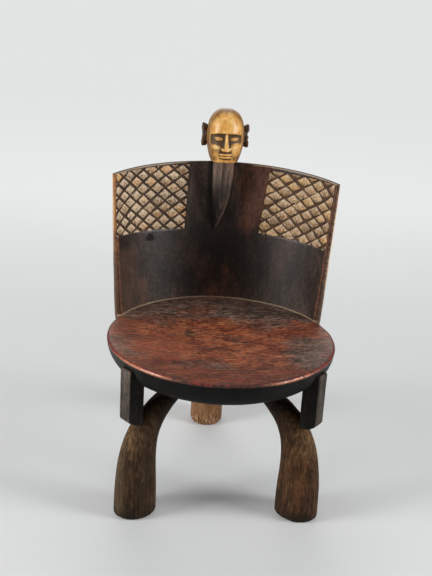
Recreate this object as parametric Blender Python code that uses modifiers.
"""Carved wooden chair: a round dished seat on three bent legs, with a curved back and a bearded head.

Metres, +Z up. The sitter faces -Y. Left and right are as seen from in front of the chair, so left is -X.
Every part is one object. The parts meet in joints: round leg tenons in blind mortises under the seat, posts
housed in the seat's edge and in the legs' shoulders, a back lapped into the seat's rim on blind dowels, and a
head that sits astride the back's top edge and is pinned through it to the beard.
"""

import math

import bmesh
import bpy
from mathutils import Matrix, Vector

# Fits
JOINT_GAP = 0.0003
MERGE_DISTANCE = 0.00001
CUTTER_REACH = 0.05

# Seat
SEAT_RADIUS = 0.190
SEAT_HEIGHT = 0.274
SEAT_THICKNESS = 0.060
SEAT_DISH = 0.009
SEAT_LIP = 0.006
SEAT_EDGE_ROUND = 0.002
BOWL_FULLNESS = 6
SEAT_STEPS = 64

# Legs, each in its own upright plane through the seat's axis
FRONT_LEG_AZIMUTH = math.radians(53.0)
FRONT_FOOT_INSET = 0.022
REAR_FOOT_OUTSET = 0.046
LEG_TOP_INSET = 0.125
LEG_BEND = 5.1
FOOT_HALF_DEPTH = 0.037
LEG_TOP_HALF_DEPTH = 0.013
LEG_TAPER = 2.15
FOOT_EDGE_ROUND = 0.004
LEG_FLATTENING = 0.84
LEG_RINGS = 20
LEG_ROUNDNESS = 8
TENON_RADIUS = 0.009
TENON_LENGTH = 0.025

# Posts between the legs' shoulders and the seat's edge
POST_WIDTH = 0.026
POST_DEPTH = 0.030
POST_RIM_INSET = -0.005
POST_COVER = 0.012
POST_SOCKET = 0.010
POST_TOE_WIDTH = 0.014
POST_TOE_HEIGHT = 0.010
POST_EDGE_ROUND = 0.002

# Back
BACK_RIM_INSET = 0.005
BACK_RISE = 0.248
BACK_LAP = 0.028
BACK_LEAN = math.radians(7.5)
BACK_BASE_ANGLE = math.radians(66.0)
BACK_TOP_ANGLE = math.radians(60.0)
BACK_SKEW = math.radians(1.4)
BACK_THICKNESS = 0.014
BACK_TOP_THICKNESS = 0.008
BACK_FOOT_THICKNESS = 0.008
BACK_CROWN = 0.006
BACK_COLUMNS = 28
BACK_ROWS = 8
DOWEL_RADIUS = 0.004
DOWEL_IN_SEAT = 0.025
DOWEL_IN_BACK = 0.005
DOWEL_COUNT = 5
DOWEL_SPACING = math.radians(26.0)

# Head
HEAD_WIDTH = 0.067
HEAD_DEPTH = 0.076
HEAD_HEIGHT = 0.096
HEAD_CHIN_SHARE = 0.43
HEAD_FORWARD = 0.012
HEAD_SHIFT = 0.003
HEAD_FULLNESS = 2.6
HEAD_SEGMENTS = 32
HEAD_RINGS = 24
JAW_NARROWING = 0.22
FACE_RECESS = 0.006
NOSE_LENGTH = 0.032
NOSE_WIDTH = 0.013
NOSE_DEPTH = 0.018
MOUTH_WIDTH = 0.024
LIP_HEIGHT = 0.0055
LIP_DEPTH = 0.010

# Ears
EAR_HEIGHT = 0.042
EAR_DEPTH = 0.024
EAR_STAND_OUT = 0.0085
EAR_BACK_SHIFT = 0.004
EAR_LIFT = 0.007
EAR_PEG_RADIUS = 0.004
EAR_PEG_LENGTH = 0.012

# Beard and nape, which clasp the back between them
BEARD_WIDTH = 0.037
BEARD_DEPTH = 0.032
BEARD_LENGTH = 0.120
BEARD_SWAY = -0.009
BEARD_RINGS = 12
NAPE_WIDTH = 0.030
NAPE_DEPTH = 0.017
NAPE_LENGTH = 0.058
NAPE_ROOT = 0.030
NECK_PIN_RADIUS = 0.002
NECK_PIN_IN_BEARD = 0.012
NECK_PIN_IN_NAPE = 0.004
NECK_PIN_DROPS = {"upper": 0.016, "lower": 0.032}

# Heights and reaches that follow from the sizes above
SEAT_UNDERSIDE = SEAT_HEIGHT - SEAT_THICKNESS
BACK_RADIUS = SEAT_RADIUS - BACK_RIM_INSET
BACK_TOP = SEAT_HEIGHT + BACK_RISE
LEDGE_HEIGHT = SEAT_HEIGHT - BACK_LAP
POST_OUTER_REACH = SEAT_RADIUS - POST_RIM_INSET
POST_INNER_REACH = POST_OUTER_REACH - POST_DEPTH
LEG_TOP_REACH = SEAT_RADIUS - LEG_TOP_INSET

# Azimuth runs from the front, -Y, towards +X
LEGS = {
    "front_left": (-FRONT_LEG_AZIMUTH, SEAT_RADIUS - FRONT_FOOT_INSET),
    "front_right": (FRONT_LEG_AZIMUTH, SEAT_RADIUS - FRONT_FOOT_INSET),
    "rear": (math.pi, SEAT_RADIUS + REAR_FOOT_OUTSET),
}

WOODS = {
    "seat": ((0.184, 0.056, 0.026), 0.42),
    "backrest": ((0.030, 0.020, 0.015), 0.45),
    "leg": ((0.090, 0.052, 0.028), 0.65),
    "post": ((0.045, 0.036, 0.029), 0.60),
    "head": ((0.560, 0.300, 0.100), 0.40),
    "ear": ((0.035, 0.022, 0.015), 0.50),
    "beard": ((0.050, 0.035, 0.027), 0.50),
    "dowel": ((0.400, 0.260, 0.130), 0.70),
}


def clear_scene():
    for obj in list(bpy.data.objects):
        bpy.data.objects.remove(obj)


def new_collection(name):
    collection = bpy.data.collections.new(name)
    bpy.context.scene.collection.children.link(collection)
    return collection


def wood(name):
    """A plain material in the colour and gloss of one of the chair's woods."""
    material = bpy.data.materials.get(name)
    if material is None:
        colour, roughness = WOODS[name]
        material = bpy.data.materials.new(name)
        material.use_nodes = True
        shader = material.node_tree.nodes["Principled BSDF"]
        shader.inputs["Base Color"].default_value = (*colour, 1.0)
        shader.inputs["Roughness"].default_value = roughness
        shader.inputs["Metallic"].default_value = 0.0
    return material


clear_scene()
PARTS = new_collection("carved_chair")
CUTTERS = new_collection("cutters")
ROOT = bpy.data.objects.new("chair_frame", None)
PARTS.objects.link(ROOT)


def add_solid(name, mesh, material_name=None):
    """A part with its wood or, with no wood named, a hidden cutter."""
    obj = bpy.data.objects.new(name, mesh)
    obj.parent = ROOT
    if material_name is None:
        CUTTERS.objects.link(obj)
        obj.hide_render = True
        obj.display_type = "WIRE"
        return obj
    PARTS.objects.link(obj)
    mesh.materials.clear()
    mesh.materials.append(wood(material_name))
    mesh.shade_smooth()
    mesh.set_sharp_from_angle(angle=math.radians(35))
    return obj


def mesh_of(shape, name):
    mesh = bpy.data.meshes.new(name)
    shape.to_mesh(mesh)
    shape.free()
    return mesh


def boolean(target, operation, *tools):
    for tool in tools:
        modifier = target.modifiers.new(f"{operation.lower()}_{tool.name}", "BOOLEAN")
        modifier.operation = operation
        modifier.object = tool


def cylinder_mesh(name, radius, length, sides=16):
    """A round bar along X, centred on its origin."""
    shape = bmesh.new()
    bmesh.ops.create_cone(
        shape,
        cap_ends=True,
        segments=sides,
        radius1=radius,
        radius2=radius,
        depth=length,
        matrix=Matrix.Rotation(math.radians(90), 4, "Y"),
    )
    return mesh_of(shape, name)


def peg(name, radius, length, location, rotation, material_name=None):
    obj = add_solid(name, cylinder_mesh(name, radius, length), material_name)
    obj.location = location
    obj.rotation_euler = rotation
    return obj


def ellipsoid_mesh(name, size, segments=16, rings=10):
    shape = bmesh.new()
    bmesh.ops.create_uvsphere(shape, u_segments=segments, v_segments=rings, radius=0.5)
    bmesh.ops.scale(shape, vec=Vector(size), verts=shape.verts)
    return mesh_of(shape, name)


def tube_mesh(name, stations, roundness, flattening):
    """A tapering tube in the XZ plane through (x, z, radius) stations, squeezed along Y."""
    curve = bpy.data.curves.new(name, "CURVE")
    curve.dimensions = "3D"
    curve.bevel_depth = 1.0
    curve.bevel_resolution = roundness
    curve.use_fill_caps = True
    spline = curve.splines.new("POLY")
    spline.points.add(len(stations) - 1)
    for point, (x, z, radius) in zip(spline.points, stations):
        point.co = (x, 0.0, z, 1.0)
        point.radius = radius
    guide = bpy.data.objects.new(name, curve)
    CUTTERS.objects.link(guide)
    mesh = bpy.data.meshes.new_from_object(guide.evaluated_get(bpy.context.evaluated_depsgraph_get()))
    bpy.data.objects.remove(guide)
    shape = bmesh.new()
    shape.from_mesh(mesh)
    bmesh.ops.remove_doubles(shape, verts=shape.verts, dist=MERGE_DISTANCE)
    bmesh.ops.scale(shape, vec=Vector((1.0, flattening, 1.0)), verts=shape.verts)
    shape.to_mesh(mesh)
    shape.free()
    return mesh


# Seat


def bowl_height(reach):
    """Height of the seat's underside at a distance from its axis."""
    return SEAT_HEIGHT - SEAT_THICKNESS * math.sqrt(1 - (reach / SEAT_RADIUS) ** BOWL_FULLNESS)


def seat_profile(grow):
    """Half section from the middle of the dish, over the lip and down the bowl to its lowest point."""
    dish_radius = SEAT_RADIUS - SEAT_LIP
    points = []
    for share in (0.0, 0.25, 0.5, 0.75, 0.9, 1.0):
        points.append((dish_radius * share, SEAT_HEIGHT - SEAT_DISH * (1 - share**2)))
    points.append((SEAT_RADIUS + grow - SEAT_EDGE_ROUND, SEAT_HEIGHT))
    for degrees in (3, 10, 18, 27, 37, 48, 60, 72, 82, 87, 90):
        turn = math.radians(degrees)
        reach = (SEAT_RADIUS + grow) * max(0.0, math.cos(turn)) ** (2 / BOWL_FULLNESS)
        points.append((reach, SEAT_HEIGHT - (SEAT_THICKNESS + grow) * math.sin(turn)))
    points[-1] = (0.0, points[-1][1])
    return points


def seat_blank(name, material_name=None, grow=0.0):
    """The turned seat before its joints are cut."""
    shape = bmesh.new()
    corners = [shape.verts.new((x, 0.0, z)) for x, z in seat_profile(grow)]
    for first, second in zip(corners, corners[1:]):
        shape.edges.new((first, second))
    obj = add_solid(name, mesh_of(shape, name), material_name)
    screw = obj.modifiers.new("turn", "SCREW")
    screw.steps = SEAT_STEPS
    screw.render_steps = SEAT_STEPS
    screw.use_merge_vertices = True
    screw.merge_threshold = MERGE_DISTANCE
    screw.use_smooth_shade = True
    return obj


# Legs and posts


def facing(azimuth):
    """Turns local X outwards from the seat's axis at this azimuth."""
    return (0.0, 0.0, azimuth - math.radians(90))


def leg_station(foot_reach, share):
    """Reach, height and half depth of a leg at a share of its rise: upright, then bending inwards."""
    rise = bowl_height(LEG_TOP_REACH)
    bend = share**LEG_BEND if share < 1 else 1 + LEG_BEND * (share - 1)
    reach = LEG_TOP_REACH + (foot_reach - LEG_TOP_REACH) * (1 - bend)
    half_depth = FOOT_HALF_DEPTH + (LEG_TOP_HALF_DEPTH - FOOT_HALF_DEPTH) * min(1.0, share) ** LEG_TAPER
    return reach, rise * share, half_depth


def leg_stations(foot_reach):
    """Stations from a rounded foot to a top that runs on into the seat, where it is trimmed."""
    rise = bowl_height(LEG_TOP_REACH)
    first = FOOT_EDGE_ROUND / rise
    last = 1 + 2 * LEG_TOP_HALF_DEPTH / rise
    reach, _, half_depth = leg_station(foot_reach, 0.0)
    stations = [(reach, 0.0, half_depth - FOOT_EDGE_ROUND)]
    for ring in range(LEG_RINGS):
        stations.append(leg_station(foot_reach, first + (last - first) * ring / (LEG_RINGS - 1)))
    return stations


def shoulder_height(foot_reach, reach):
    """Height of a leg's outer and upper side at a distance from the seat's axis."""
    before = None
    for step in range(1, 200):
        low = leg_station(foot_reach, (step - 1) / 200)
        high = leg_station(foot_reach, step / 200)
        along = Vector((high[0] - low[0], high[1] - low[1])).normalized()
        surface = (high[0] + along.y * high[2], high[1] - along.x * high[2])
        if before is not None and surface[0] <= reach <= before[0]:
            return surface[1]
        before = surface
    return bowl_height(reach) - POST_SOCKET


def post_outline(foot_reach, top, grow, outer_reach):
    """Side view of a post in its leg's plane, with the toe that is cut away below its outer face."""
    foot = shoulder_height(foot_reach, POST_INNER_REACH) - POST_SOCKET
    inner = POST_INNER_REACH - grow
    outer = outer_reach + grow
    toe = POST_OUTER_REACH - POST_TOE_WIDTH
    outline = [
        (inner, foot - grow),
        (toe, foot - grow),
        (POST_OUTER_REACH + grow, foot - grow + POST_TOE_HEIGHT),
        (outer, foot - grow + POST_TOE_HEIGHT),
        (outer, top + grow),
        (inner, top + grow),
    ]
    if outer_reach == POST_OUTER_REACH:
        del outline[3]
    return outline


def post_solid(name, azimuth, outline, width, material_name=None):
    """An upright outline in a leg's plane, extruded to its width."""
    curve = bpy.data.curves.new(name, "CURVE")
    curve.dimensions = "2D"
    curve.fill_mode = "BOTH"
    curve.extrude = width / 2
    spline = curve.splines.new("POLY")
    spline.points.add(len(outline) - 1)
    spline.use_cyclic_u = True
    for point, (x, z) in zip(spline.points, outline):
        point.co = (x, z, 0.0, 1.0)
    guide = bpy.data.objects.new(name, curve)
    CUTTERS.objects.link(guide)
    mesh = bpy.data.meshes.new_from_object(guide.evaluated_get(bpy.context.evaluated_depsgraph_get()))
    bpy.data.objects.remove(guide)
    shape = bmesh.new()
    shape.from_mesh(mesh)
    bmesh.ops.remove_doubles(shape, verts=shape.verts, dist=MERGE_DISTANCE)
    bmesh.ops.rotate(shape, verts=shape.verts, matrix=Matrix.Rotation(math.radians(90), 3, "X"))
    bmesh.ops.recalc_face_normals(shape, faces=shape.faces)
    shape.to_mesh(mesh)
    shape.free()
    obj = add_solid(name, mesh, material_name)
    obj.rotation_euler = facing(azimuth)
    return obj


def build_leg(side, seat_trim, seat):
    """One leg with its tenon, the post on its shoulder, and the mortise and housing that they need."""
    azimuth, foot_reach = LEGS[side]
    leg = add_solid(
        f"{side}_leg",
        tube_mesh(f"{side}_leg", leg_stations(foot_reach), LEG_ROUNDNESS, LEG_FLATTENING),
        "leg",
    )
    leg.rotation_euler = facing(azimuth)

    tenon_top = bowl_height(LEG_TOP_REACH) + TENON_LENGTH
    length = TENON_LENGTH + LEG_TOP_HALF_DEPTH / 2
    foot = Vector((LEG_TOP_REACH * math.sin(azimuth), -LEG_TOP_REACH * math.cos(azimuth), 0.0))
    upright = (0.0, math.radians(90), 0.0)
    tenon = peg(f"{side}_tenon", TENON_RADIUS, length, foot + Vector((0, 0, tenon_top - length / 2)), upright)
    mortise_length = length + 2 * JOINT_GAP
    mortise = peg(
        f"{side}_mortise",
        TENON_RADIUS + JOINT_GAP,
        mortise_length,
        foot + Vector((0, 0, tenon_top + JOINT_GAP - mortise_length / 2)),
        upright,
    )

    top = SEAT_HEIGHT - POST_COVER
    if side == "rear":
        top = LEDGE_HEIGHT - 2 * JOINT_GAP
    outline = post_outline(foot_reach, top, 0.0, POST_OUTER_REACH)
    post = post_solid(f"{side}_post", azimuth, outline, POST_WIDTH, "post")
    round_edges(post, POST_EDGE_ROUND)
    housing_width = POST_WIDTH + 2 * JOINT_GAP
    housing = post_solid(
        f"{side}_housing",
        azimuth,
        post_outline(foot_reach, top, JOINT_GAP, SEAT_RADIUS + CUTTER_REACH),
        housing_width,
    )
    socket = post_solid(
        f"{side}_socket",
        azimuth,
        post_outline(foot_reach, top, JOINT_GAP, POST_OUTER_REACH),
        housing_width,
    )

    boolean(leg, "DIFFERENCE", seat_trim, socket)
    boolean(leg, "UNION", tenon)
    boolean(seat, "DIFFERENCE", mortise, housing)


def round_edges(obj, width):
    bevel = obj.modifiers.new("round_edges", "BEVEL")
    bevel.width = width
    bevel.segments = 1
    bevel.limit_method = "ANGLE"


# Back


def back_radius(height):
    """Radius of the back's front face: upright in its lap, then leaning outwards like a cone."""
    return BACK_RADIUS + max(0.0, height - SEAT_HEIGHT) * math.tan(BACK_LEAN)


def back_share(height):
    return max(0.0, (height - SEAT_HEIGHT) / BACK_RISE)


def back_angle(height):
    return BACK_BASE_ANGLE + (BACK_TOP_ANGLE - BACK_BASE_ANGLE) * back_share(height)


def back_thickness(height):
    """Thickest at the rim, thinning upwards, and thinning down its lap to meet the bowl."""
    if height < SEAT_HEIGHT:
        return BACK_THICKNESS + (BACK_FOOT_THICKNESS - BACK_THICKNESS) * (SEAT_HEIGHT - height) / BACK_LAP
    return BACK_THICKNESS + (BACK_TOP_THICKNESS - BACK_THICKNESS) * back_share(height)


def curved_slab(name, heights, radius_at, angle_at, thickness_at, material_name=None, crown=0.0, skew=0.0):
    """A wall round the rear of the seat's axis: an open curved sheet, given its thickness outwards."""
    rows = len(heights) - 1
    shape = bmesh.new()
    bmesh.ops.create_grid(shape, x_segments=BACK_COLUMNS, y_segments=rows, size=1.0)
    thickest = max(thickness_at(height) for height in heights)
    shares = []
    for vert in shape.verts:
        height = heights[round((vert.co.y + 1) / 2 * rows)]
        turn = vert.co.x * angle_at(height) + skew * back_share(height)
        drop = crown * back_share(height) * vert.co.x**2
        reach = radius_at(height)
        vert.co = (reach * math.sin(turn), reach * math.cos(turn), height - drop)
        shares.append(thickness_at(height) / thickest)
    bmesh.ops.recalc_face_normals(shape, faces=shape.faces)
    shape.normal_update()
    shape.faces.ensure_lookup_table()
    middle = shape.faces[0]
    outwards = Vector((middle.calc_center_median().x, middle.calc_center_median().y, 0.0))
    if middle.normal.dot(outwards) < 0:
        bmesh.ops.reverse_faces(shape, faces=shape.faces)
    obj = add_solid(name, mesh_of(shape, name), material_name)
    group = obj.vertex_groups.new(name="thickness")
    for index, share in enumerate(shares):
        group.add([index], share, "REPLACE")
    solidify = obj.modifiers.new("thickness", "SOLIDIFY")
    solidify.thickness = thickest
    solidify.offset = 1.0
    solidify.vertex_group = group.name
    return obj


def back_heights():
    rise = [SEAT_HEIGHT + BACK_RISE * row / BACK_ROWS for row in range(BACK_ROWS + 1)]
    return [LEDGE_HEIGHT, *rise]


def build_back(seat):
    """The back, the rebate that it laps into, and the blind dowels that hold it there."""
    back = curved_slab(
        "backrest",
        back_heights(),
        back_radius,
        back_angle,
        back_thickness,
        "backrest",
        crown=BACK_CROWN,
        skew=BACK_SKEW,
    )
    rebate = curved_slab(
        "back_rebate",
        [LEDGE_HEIGHT - JOINT_GAP, SEAT_HEIGHT + CUTTER_REACH],
        lambda height: BACK_RADIUS - JOINT_GAP,
        lambda height: BACK_BASE_ANGLE + JOINT_GAP / BACK_RADIUS,
        lambda height: CUTTER_REACH,
    )
    boolean(seat, "DIFFERENCE", rebate)

    height = SEAT_HEIGHT - BACK_LAP / 2
    length = DOWEL_IN_SEAT + DOWEL_IN_BACK
    reach = BACK_RADIUS + DOWEL_IN_BACK - length / 2
    for index in range(DOWEL_COUNT):
        azimuth = math.pi + (index - (DOWEL_COUNT - 1) / 2) * DOWEL_SPACING
        place = (reach * math.sin(azimuth), -reach * math.cos(azimuth), height)
        peg(f"back_dowel_{index + 1}", DOWEL_RADIUS, length, place, facing(azimuth), "dowel")
        hole = peg(
            f"back_dowel_hole_{index + 1}",
            DOWEL_RADIUS + JOINT_GAP,
            length + 2 * JOINT_GAP,
            place,
            facing(azimuth),
        )
        boolean(seat, "DIFFERENCE", hole)
        boolean(back, "DIFFERENCE", hole)
    return back


# Head, ears and beard

SLOPE = Vector((0.0, math.sin(BACK_LEAN), math.cos(BACK_LEAN)))
BACKWARDS = Vector((0.0, math.cos(BACK_LEAN), -math.sin(BACK_LEAN)))
SLOPE_TILT = (-BACK_LEAN, 0.0, 0.0)
BACK_TOP_POINT = Vector((HEAD_SHIFT, back_radius(BACK_TOP), BACK_TOP))
HEAD_CENTRE = BACK_TOP_POINT + Vector(
    (0.0, BACK_TOP_THICKNESS / 2 - HEAD_FORWARD, HEAD_HEIGHT * HEAD_CHIN_SHARE)
)
CROWN_HALF_HEIGHT = HEAD_HEIGHT * (1 - HEAD_CHIN_SHARE)
BROW_RISE = HEAD_HEIGHT / 2 - HEAD_HEIGHT * HEAD_CHIN_SHARE + NOSE_LENGTH / 3


def head_level(rise_share):
    """Width of the head at a share of its half height, against its widest; fuller than a ball's."""
    return (1 - min(1.0, abs(rise_share)) ** HEAD_FULLNESS) ** (1 / HEAD_FULLNESS)


def head_mesh(name, grow):
    """An egg narrowing to the jaw, with the face set back below the brow."""
    shape = bmesh.new()
    bmesh.ops.create_uvsphere(shape, u_segments=HEAD_SEGMENTS, v_segments=HEAD_RINGS, radius=1.0)
    for vert in shape.verts:
        unit = vert.co.copy()
        fullness = head_level(unit.z) / max(MERGE_DISTANCE, math.hypot(unit.x, unit.y))
        unit.x *= fullness
        unit.y *= fullness
        down = max(0.0, -unit.z)
        narrow = 1 - JAW_NARROWING * down
        front = max(0.0, -unit.y)
        recess = FACE_RECESS * front if unit.z * CROWN_HALF_HEIGHT < BROW_RISE else 0.0
        vert.co = (
            (HEAD_WIDTH / 2 + grow) * unit.x * narrow,
            (HEAD_DEPTH / 2 + grow) * unit.y + recess,
            (CROWN_HALF_HEIGHT + grow) * unit.z,
        )
    return mesh_of(shape, name)


def face_surface(rise):
    """How far in front of the head's centre the set-back face lies at a height above it."""
    level = head_level(rise / CROWN_HALF_HEIGHT)
    return HEAD_DEPTH / 2 * level - FACE_RECESS * level


def face_tools():
    """Nose and lips, on the proportions of a plain drawing-book face."""
    nose_rise = BROW_RISE - NOSE_LENGTH / 2
    mouth_rise = BROW_RISE - NOSE_LENGTH - 2 * LIP_HEIGHT
    tools = {"nose": ((NOSE_WIDTH, NOSE_DEPTH, NOSE_LENGTH), nose_rise)}
    for lip, side in (("upper_lip", 0.5), ("lower_lip", -0.5)):
        tools[lip] = ((MOUTH_WIDTH, LIP_DEPTH, LIP_HEIGHT * 1.4), mouth_rise + side * LIP_HEIGHT)
    for name, (size, rise) in tools.items():
        tool = add_solid(name, ellipsoid_mesh(name, size))
        tool.location = HEAD_CENTRE + Vector((0.0, -face_surface(rise), rise))
        yield tool


def sloping_tube(name, root, length, half_width, depth, taper, start, material_name=None, sway=0.0):
    """A tapering half-round laid along the back's slope, from a height above its root down to its tip."""
    stations = []
    for ring in range(BEARD_RINGS + 1):
        share = ring / BEARD_RINGS * 0.995
        stations.append((sway * share**2, -share * length, half_width * taper(share)))
    if start > 0:
        stations.insert(0, (0.0, start, half_width))
    obj = add_solid(name, tube_mesh(name, stations, 5, depth / half_width), material_name)
    obj.location = root
    obj.rotation_euler = SLOPE_TILT
    return obj


def beard_taper(share):
    return (1 - share**2.5) ** 0.8


def nape_taper(share):
    return (1 - share) ** 0.6


def build_head(back):
    """The head astride the back's top edge, its ears, the beard before the back and the pins between."""
    head = add_solid("head", head_mesh("head", 0.0), "head")
    head.location = HEAD_CENTRE
    below = add_solid("below_chin", box_mesh("below_chin", (2 * HEAD_WIDTH, 2 * HEAD_DEPTH, HEAD_HEIGHT)))
    below.location = BACK_TOP_POINT + SLOPE * (JOINT_GAP - HEAD_HEIGHT / 2)
    below.rotation_euler = SLOPE_TILT
    boolean(head, "UNION", *face_tools())
    boolean(head, "DIFFERENCE", below)

    nape_root = BACK_TOP_POINT + BACKWARDS * BACK_TOP_THICKNESS
    nape = sloping_tube("nape", nape_root, NAPE_LENGTH, NAPE_WIDTH / 2, NAPE_DEPTH, nape_taper, NAPE_ROOT)
    before_nape = curved_slab(
        "before_nape",
        [BACK_TOP - 2 * NAPE_LENGTH, BACK_TOP, BACK_TOP + NAPE_ROOT / 4],
        lambda height: back_radius(height) - CUTTER_REACH,
        back_angle,
        lambda height: CUTTER_REACH + back_thickness(height) + JOINT_GAP,
    )
    boolean(nape, "DIFFERENCE", before_nape)
    boolean(head, "UNION", nape)

    beard = sloping_tube(
        "beard", BACK_TOP_POINT, BEARD_LENGTH, BEARD_WIDTH / 2, BEARD_DEPTH, beard_taper, 0.0, "beard", BEARD_SWAY
    )
    behind_beard = curved_slab(
        "behind_beard",
        [BACK_TOP - 2 * BEARD_LENGTH, BACK_TOP + CUTTER_REACH],
        lambda height: back_radius(height) - JOINT_GAP,
        back_angle,
        lambda height: CUTTER_REACH,
    )
    boolean(beard, "DIFFERENCE", behind_beard)

    for name, drop in NECK_PIN_DROPS.items():
        through = BACK_TOP_THICKNESS + NECK_PIN_IN_BEARD + NECK_PIN_IN_NAPE
        middle = (BACK_TOP_THICKNESS + NECK_PIN_IN_NAPE - NECK_PIN_IN_BEARD) / 2
        place = BACK_TOP_POINT - SLOPE * drop + BACKWARDS * middle
        turn = BACKWARDS.to_track_quat("X", "Z").to_euler()
        peg(f"neck_pin_{name}", NECK_PIN_RADIUS, through, place, turn, "dowel")
        hole = peg(
            f"neck_pin_hole_{name}", NECK_PIN_RADIUS + JOINT_GAP, through + 2 * JOINT_GAP, place, turn
        )
        for part in (head, back, beard):
            boolean(part, "DIFFERENCE", hole)

    for name, side in (("left", -1), ("right", 1)):
        build_ear(f"{name}_ear", side, head)


def box_mesh(name, size):
    shape = bmesh.new()
    bmesh.ops.create_cube(shape, size=1.0)
    bmesh.ops.scale(shape, vec=Vector(size), verts=shape.verts)
    return mesh_of(shape, name)


def build_ear(name, side, head):
    """An ear of two lobes, hollowed to the head's side and pegged into it."""
    seat_of_ear = HEAD_CENTRE + Vector((side * HEAD_WIDTH / 2, EAR_BACK_SHIFT, EAR_LIFT))
    lobe_size = (2 * EAR_STAND_OUT, EAR_DEPTH, EAR_HEIGHT * 0.62)
    lift = EAR_HEIGHT * 0.19
    ear = add_solid(name, ellipsoid_mesh(name, lobe_size), "ear")
    ear.location = seat_of_ear + Vector((0.0, 0.0, lift))
    lower = add_solid(f"{name}_lobe", ellipsoid_mesh(f"{name}_lobe", lobe_size))
    lower.location = seat_of_ear - Vector((0.0, 0.0, lift))
    around_head = add_solid(f"{name}_hollow", head_mesh(f"{name}_hollow", JOINT_GAP))
    around_head.location = HEAD_CENTRE
    place = seat_of_ear
    along_x = (0.0, 0.0, 0.0)
    tenon = peg(f"{name}_peg", EAR_PEG_RADIUS, EAR_PEG_LENGTH, place, along_x)
    hole = peg(
        f"{name}_hole", EAR_PEG_RADIUS + JOINT_GAP, EAR_PEG_LENGTH + 2 * JOINT_GAP, place, along_x
    )
    boolean(ear, "UNION", lower)
    boolean(ear, "DIFFERENCE", around_head)
    boolean(ear, "UNION", tenon)
    boolean(head, "DIFFERENCE", hole)


def centre_on_floor():
    """Moves the whole chair so that its origin is midway between its front and its rear."""
    bpy.context.view_layer.update()
    graph = bpy.context.evaluated_depsgraph_get()
    depths = []
    for obj in PARTS.objects:
        if obj.type == "MESH":
            evaluated = obj.evaluated_get(graph)
            depths += [(evaluated.matrix_world @ Vector(corner)).y for corner in evaluated.bound_box]
    ROOT.location.y = -(min(depths) + max(depths)) / 2


def main():
    seat_trim = seat_blank("seat_trim", grow=JOINT_GAP)
    seat = seat_blank("seat", "seat")
    for side in LEGS:
        build_leg(side, seat_trim, seat)
    back = build_back(seat)
    build_head(back)
    centre_on_floor()


main()
